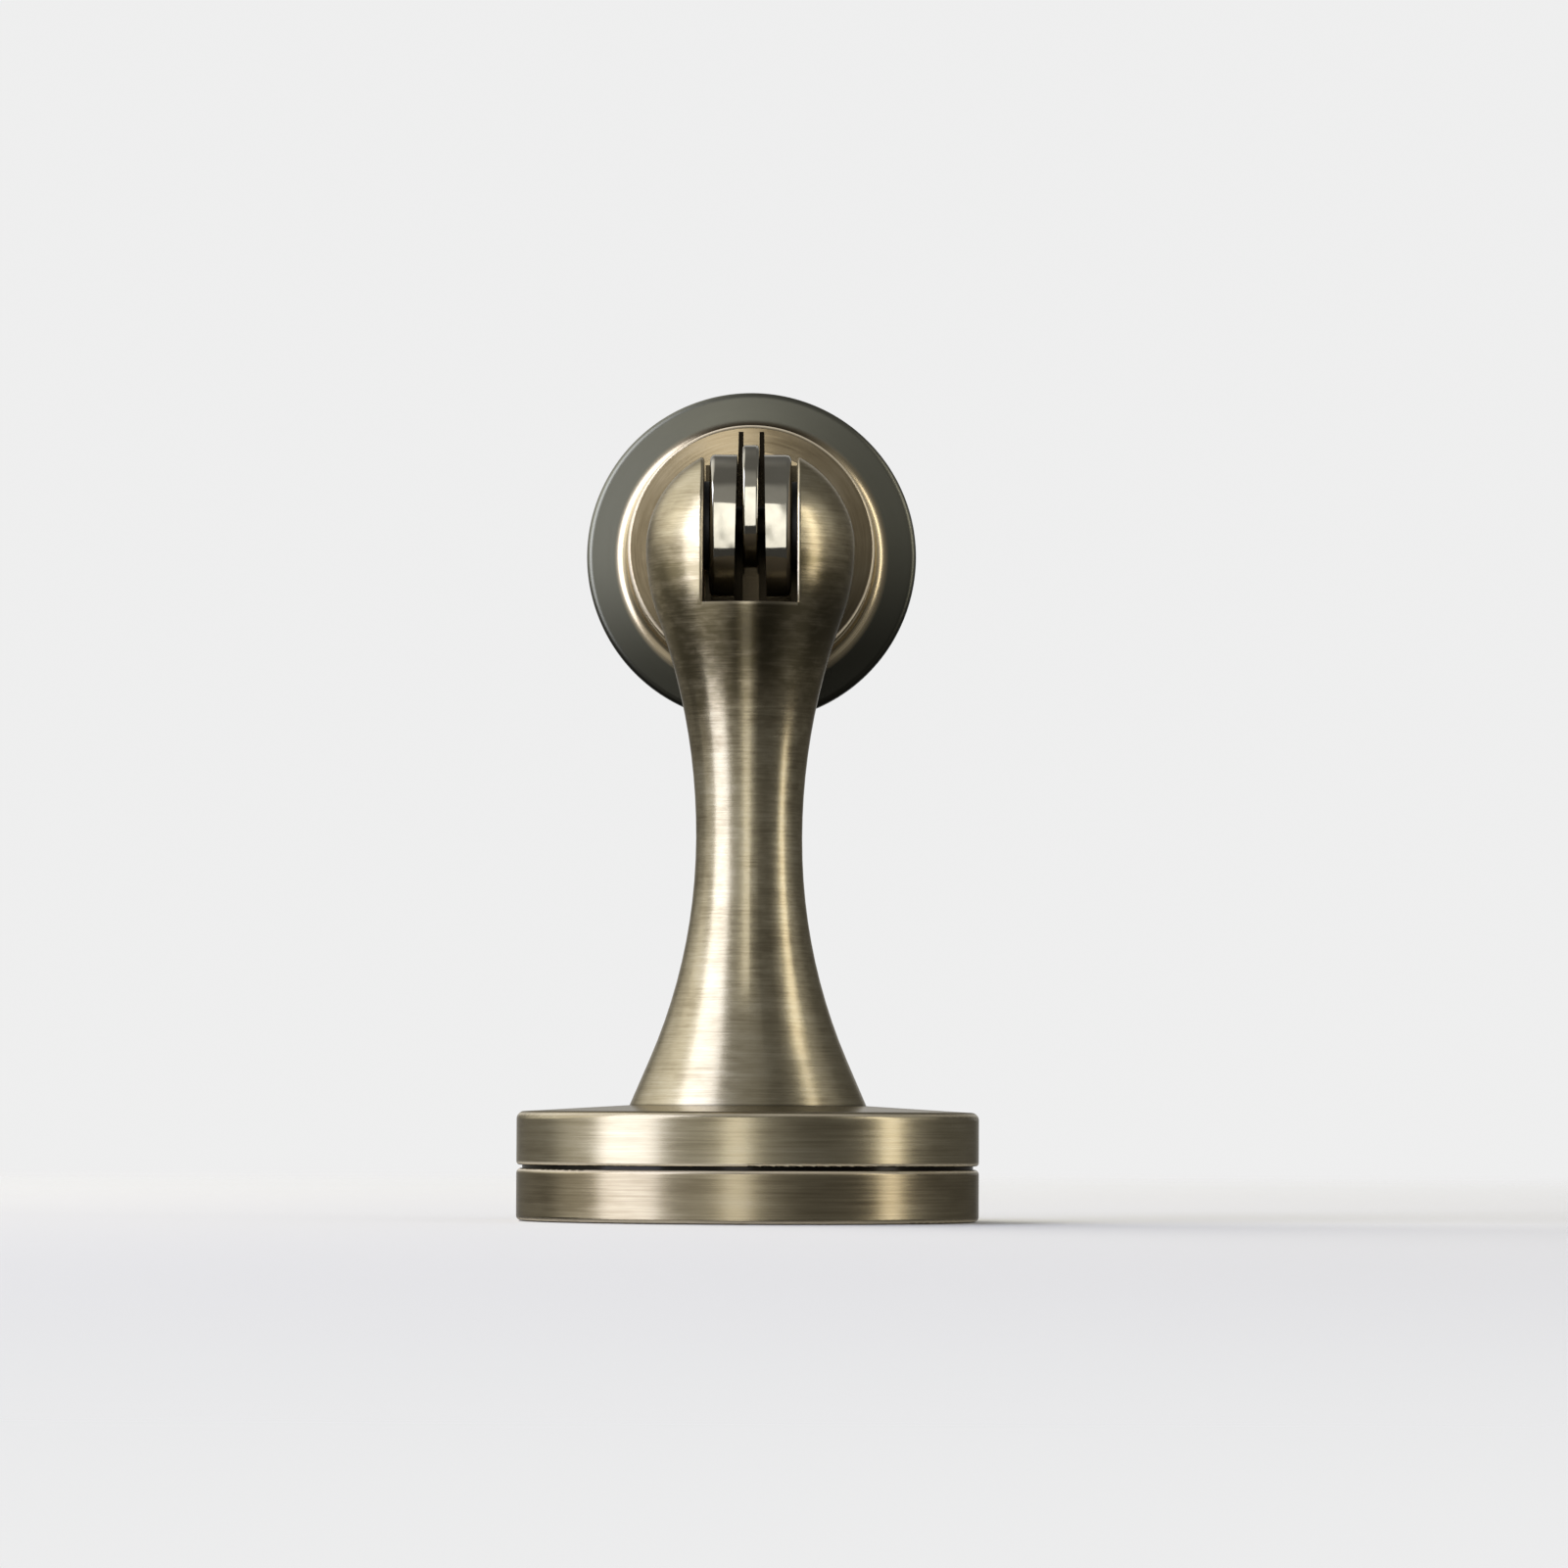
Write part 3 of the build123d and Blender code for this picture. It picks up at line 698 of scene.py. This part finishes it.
def mouldedBlack(name, color, roughness, grain):
    finish = Finish(name)
    point = Turning(finish, headCentre, "Y").point
    speckle = finish.node("ShaderNodeTexNoise", inputs={"Vector": point, "Scale": grain, "Detail": 3.0})
    mixed = finish.mixColor(speckle, color, tuple(c * moulded["lightest"] for c in color))
    bump = finish.node("ShaderNodeBump", inputs={
        "Strength": moulded["grainStrength"], "Distance": moulded["grainHeight"] * millimetre,
        "Height": speckle})
    return finish.surface(Base_Color=mixed, Roughness=varied(roughness, speckle, moulded["grainRoughness"]),
                          Normal=bump)


def paint(names, material):
    for name in names:
        mesh = nodes[name].data
        mesh.materials.clear()
        mesh.materials.append(material)


paint(["column"], columnFinish())
paint(["base_plate"], footFinish())
paint(["magnet_holder"], holderFinish())
paint(["pivot_pin"], pinFinish())
rosePiece = turnOnLathe("turnedRose", rose, roseSection, headCentre, roseFinish())
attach(rosePiece, "door_strike")
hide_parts("door_rose")
print("rose turned with", len(rosePiece.data.polygons), "faces")

# Small parts: the pieces in each material, and its look
paint(["friction_washer_left", "friction_washer_right"],
      mouldedBlack("blackNylon", (0.018, 0.018, 0.018), roughness=0.42, grain=3.0))
paint(["bumper_ring"], mouldedBlack("blackRubber", (0.016, 0.016, 0.017), roughness=0.62, grain=6.0))
paint(["foot_grub_screw", "strike_clip"],
      groundMetal("blackOxideSteel", (0.07, 0.07, 0.075), roughness=0.32, centre=stemCentre, axis="Z"))
paint(["fixing_plate", "strike_stud"],
      groundMetal("zincSteel", (0.43, 0.44, 0.44), roughness=0.45, metallic=0.55))
paint(["pole_cup", "magnet", "strike_disc"], groundMetal("nickelPlate", (0.47, 0.43, 0.36), roughness=0.34))

# Spring between the disc and the floor of its well
spring = {
    "height": 2.8,
    "turns": 2.2,
    "radius": 3.4,
    "wireWidth": 0.9,
    "wireThickness": 0.4,
    "wireRound": 0.08,
    "roundSteps": 3,
    "steps": 60,
    "travel": 1.0,
}
springFoot = rose["wellFloor"] - spring["height"] + spring["wireThickness"] / 2
springPiece = windSpring("coilSpring", spring, headCentre + Vector((0, springFoot * millimetre, 0)),
                         groundMetal("groundSteel", (0.50, 0.50, 0.50), roughness=0.30))
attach(springPiece, "door_strike")
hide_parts("strike_spring")
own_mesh(springPiece)
print("spring wound with", len(springPiece.data.polygons), "faces")
print("finishes on", len(nodes), "nodes")

# Stage, in metres: a pale floor that fades into a pale world. The dark tent is what polished brass
# needs round it to show its shape, so only reflections see it.
stage = {
    "pale": (0.86, 0.86, 0.86),
    "floorRadius": 0.9,
    "floorFade": (0.15, 0.65),
    "floorDrop": 0.00005,
    "worldFill": 0.36,
    "tentRadius": 2.2,
    "tentLevel": 0.125,
    "tentLow": 0.05,
    "tentRise": (-0.7, 0.1),
    "lampCentre": 0.045,
}

# Pale areas on the dark tent: where the middle of each is, how far from it the glow is full and
# how far it reaches, all in degrees, and its level as a share of white
glows = {
    "behindLeft": {"azimuth": -118, "elevation": 42, "full": 10, "reach": 44, "level": 0.75},
    "besideMain": {"azimuth": -88, "elevation": 14, "full": 10, "reach": 32, "level": 0.55},
    "frontLeft": {"azimuth": -28, "elevation": 6, "full": 10, "reach": 36, "level": 0.30},
    "frontHigh": {"azimuth": -8, "elevation": 44, "full": 10, "reach": 28, "level": 0.16},
    "leftRear": {"azimuth": -142, "elevation": 10, "full": 8, "reach": 34, "level": 0.12},
    "belowMain": {"azimuth": -56, "elevation": -38, "full": 12, "reach": 32, "level": 0.30},
    "belowRight": {"azimuth": 70, "elevation": -30, "full": 6, "reach": 26, "level": 0.12},
    "frontLow": {"azimuth": 6, "elevation": 6, "full": 4, "reach": 22, "level": 0.14},
    "besideRight": {"azimuth": 82, "elevation": 24, "full": 8, "reach": 34, "level": 0.25},
    "behind": {"azimuth": 180, "elevation": 12, "full": 8, "reach": 26, "level": 0.40},
}


def towards(azimuth, elevation):
    # a direction from the object; azimuth 0 is the camera's side and negative is to its left
    azimuth, elevation = math.radians(azimuth), math.radians(elevation)
    return Vector((math.sin(azimuth) * math.cos(elevation), -math.cos(azimuth) * math.cos(elevation),
                   math.sin(elevation)))


def addStage(name, form, material, **sizes):
    shape = bmesh.new()
    form(shape, **sizes)
    mesh = bpy.data.meshes.new(name)
    shape.to_mesh(mesh)
    shape.free()
    mesh.materials.append(material)
    made = bpy.data.objects.new(name, mesh)
    bpy.context.scene.collection.objects.link(made)
    return made


def floorFinish():
    finish = Finish("paleFloor")
    point = finish.node("ShaderNodeTexCoord", out="Object")
    distance = finish.node("ShaderNodeVectorMath", {"operation": "LENGTH"}, {0: point}, out="Value")
    paper = finish.node("ShaderNodeBsdfDiffuse", inputs={"Color": (*stage["pale"], 1)})
    clear = finish.node("ShaderNodeBsdfTransparent")
    faded = finish.node("ShaderNodeMixShader", inputs={
        0: finish.smooth(distance, *stage["floorFade"]), 1: paper, 2: clear})
    finish.node("ShaderNodeOutputMaterial", inputs={"Surface": faded})
    return finish.material


def tentFinish():
    finish = Finish("darkTent")
    point = finish.node("ShaderNodeTexCoord", out="Object")
    direction = finish.node("ShaderNodeVectorMath", {"operation": "NORMALIZE"}, {0: point})
    height = finish.node("ShaderNodeSeparateXYZ", inputs={0: direction}, out=2)
    level = stage["tentLow"] + (stage["tentLevel"] - stage["tentLow"]) * finish.smooth(
        height, *stage["tentRise"])
    for glow in glows.values():
        facing = finish.node("ShaderNodeVectorMath", {"operation": "DOT_PRODUCT"}, {
            0: direction, 1: towards(glow["azimuth"], glow["elevation"])}, out="Value")
        level = level + glow["level"] * finish.smooth(
            facing, math.cos(math.radians(glow["reach"])), math.cos(math.radians(glow["full"])))
    light = finish.node("ShaderNodeEmission", inputs={"Strength": level})
    finish.node("ShaderNodeOutputMaterial", inputs={"Surface": light})
    finish.material.cycles.emission_sampling = "NONE"
    return finish.material


floor = addStage("floor", bmesh.ops.create_circle, floorFinish(),
                 cap_ends=True, radius=stage["floorRadius"], segments=96)
floor.location.z = -stage["floorDrop"]
floor.visible_glossy = False

tent = addStage("tent", bmesh.ops.create_uvsphere, tentFinish(),
                u_segments=48, v_segments=24, radius=stage["tentRadius"])
tent.visible_camera = False
tent.visible_diffuse = False
tent.visible_transmission = False
tent.visible_shadow = False


def paleWorld():
    # pale where it is seen, mirrored or seen through, and a weaker fill for what it lights
    world = bpy.data.worlds.new("paleWorld")
    world.use_nodes = True
    sky = NodeTree(world.node_tree)
    camera, glossy, transmission = (sky.node("ShaderNodeLightPath", out=f"Is {kind} Ray")
                                    for kind in ("Camera", "Glossy", "Transmission"))
    seen = sky.math("MAXIMUM", sky.math("MAXIMUM", camera, glossy), transmission)
    strength = sky.node("ShaderNodeMapRange", inputs={
        "Value": seen, "To Min": stage["worldFill"], "To Max": 1.0})
    light = sky.node("ShaderNodeBackground", inputs={"Color": (*stage["pale"], 1), "Strength": strength})
    sky.node("ShaderNodeOutputWorld", inputs={"Surface": light})
    return world


bpy.context.scene.world = paleWorld()

# Softboxes: distance, width and height in metres, and a radiance in which white is 1
softboxes = {
    "mainSoftbox": {"azimuth": -61, "elevation": 18, "distance": 1.2, "width": 0.78, "height": 1.90,
                    "radiance": 3.1, "color": (0.74, 0.78, 1.00)},
    "rightSoftbox": {"azimuth": 75, "elevation": 13, "distance": 1.2, "width": 0.25, "height": 1.10,
                     "radiance": 2.2, "color": (1.00, 0.95, 0.86)},
    "frontStrip": {"azimuth": -5, "elevation": -4, "distance": 1.4, "width": 0.31, "height": 2.05,
                   "radiance": 1.35, "color": (1.00, 1.00, 1.00)},
    "shadowSoftbox": {"azimuth": -138, "elevation": 48, "distance": 1.4, "width": 1.0, "height": 1.0,
                      "radiance": 4.0, "color": (1.00, 0.96, 0.84)},
}


def addSoftbox(name, values):
    light = bpy.data.lights.new(name, "AREA")
    light.shape = "RECTANGLE"
    light.size = values["width"]
    light.size_y = values["height"]
    light.color = values["color"]
    light.energy = values["radiance"] * math.pi * values["width"] * values["height"]
    lamp = bpy.data.objects.new(name, light)
    out = towards(values["azimuth"], values["elevation"])
    lamp.location = out * values["distance"]
    lamp.location.z += stage["lampCentre"]
    lamp.rotation_euler = out.to_track_quat("Z", "Y").to_euler()
    lamp.visible_camera = False
    bpy.context.scene.collection.objects.link(lamp)
    return lamp


lamps = {name: addSoftbox(name, values) for name, values in softboxes.items()}
lamps["shadowSoftbox"].visible_glossy = False
print("stage and", len(lamps), "softboxes set")

# Camera at the photograph's viewing angle: low, looking up a little, with a slight roll. Its
# measures are in metres and its roll in degrees.
view = {
    "distance": 0.727,
    "height": 0.011,
    "aimHeight": 0.0454,
    "aside": 0.0036,
    "field": 0.163,
    "roll": 0.25,
    "nearest": 0.01,
    "farthest": 20,
}
cameraData = bpy.data.cameras.new("camera")
cameraData.lens = cameraData.sensor_width * view["distance"] / view["field"]
cameraData.clip_start = view["nearest"]
cameraData.clip_end = view["farthest"]
camera = bpy.data.objects.new("camera", cameraData)
bpy.context.scene.collection.objects.link(camera)
camera.location = (view["aside"], -view["distance"], view["height"])
aim = Vector((view["aside"], 0, view["aimHeight"])) - camera.location
camera.rotation_mode = "QUATERNION"
camera.rotation_quaternion = aim.to_track_quat("-Z", "Y") @ Matrix.Rotation(
    math.radians(view["roll"]), 4, "Z").to_quaternion()
bpy.context.scene.camera = camera
bpy.context.scene.view_settings.view_transform = "Standard"

print("scene ready")
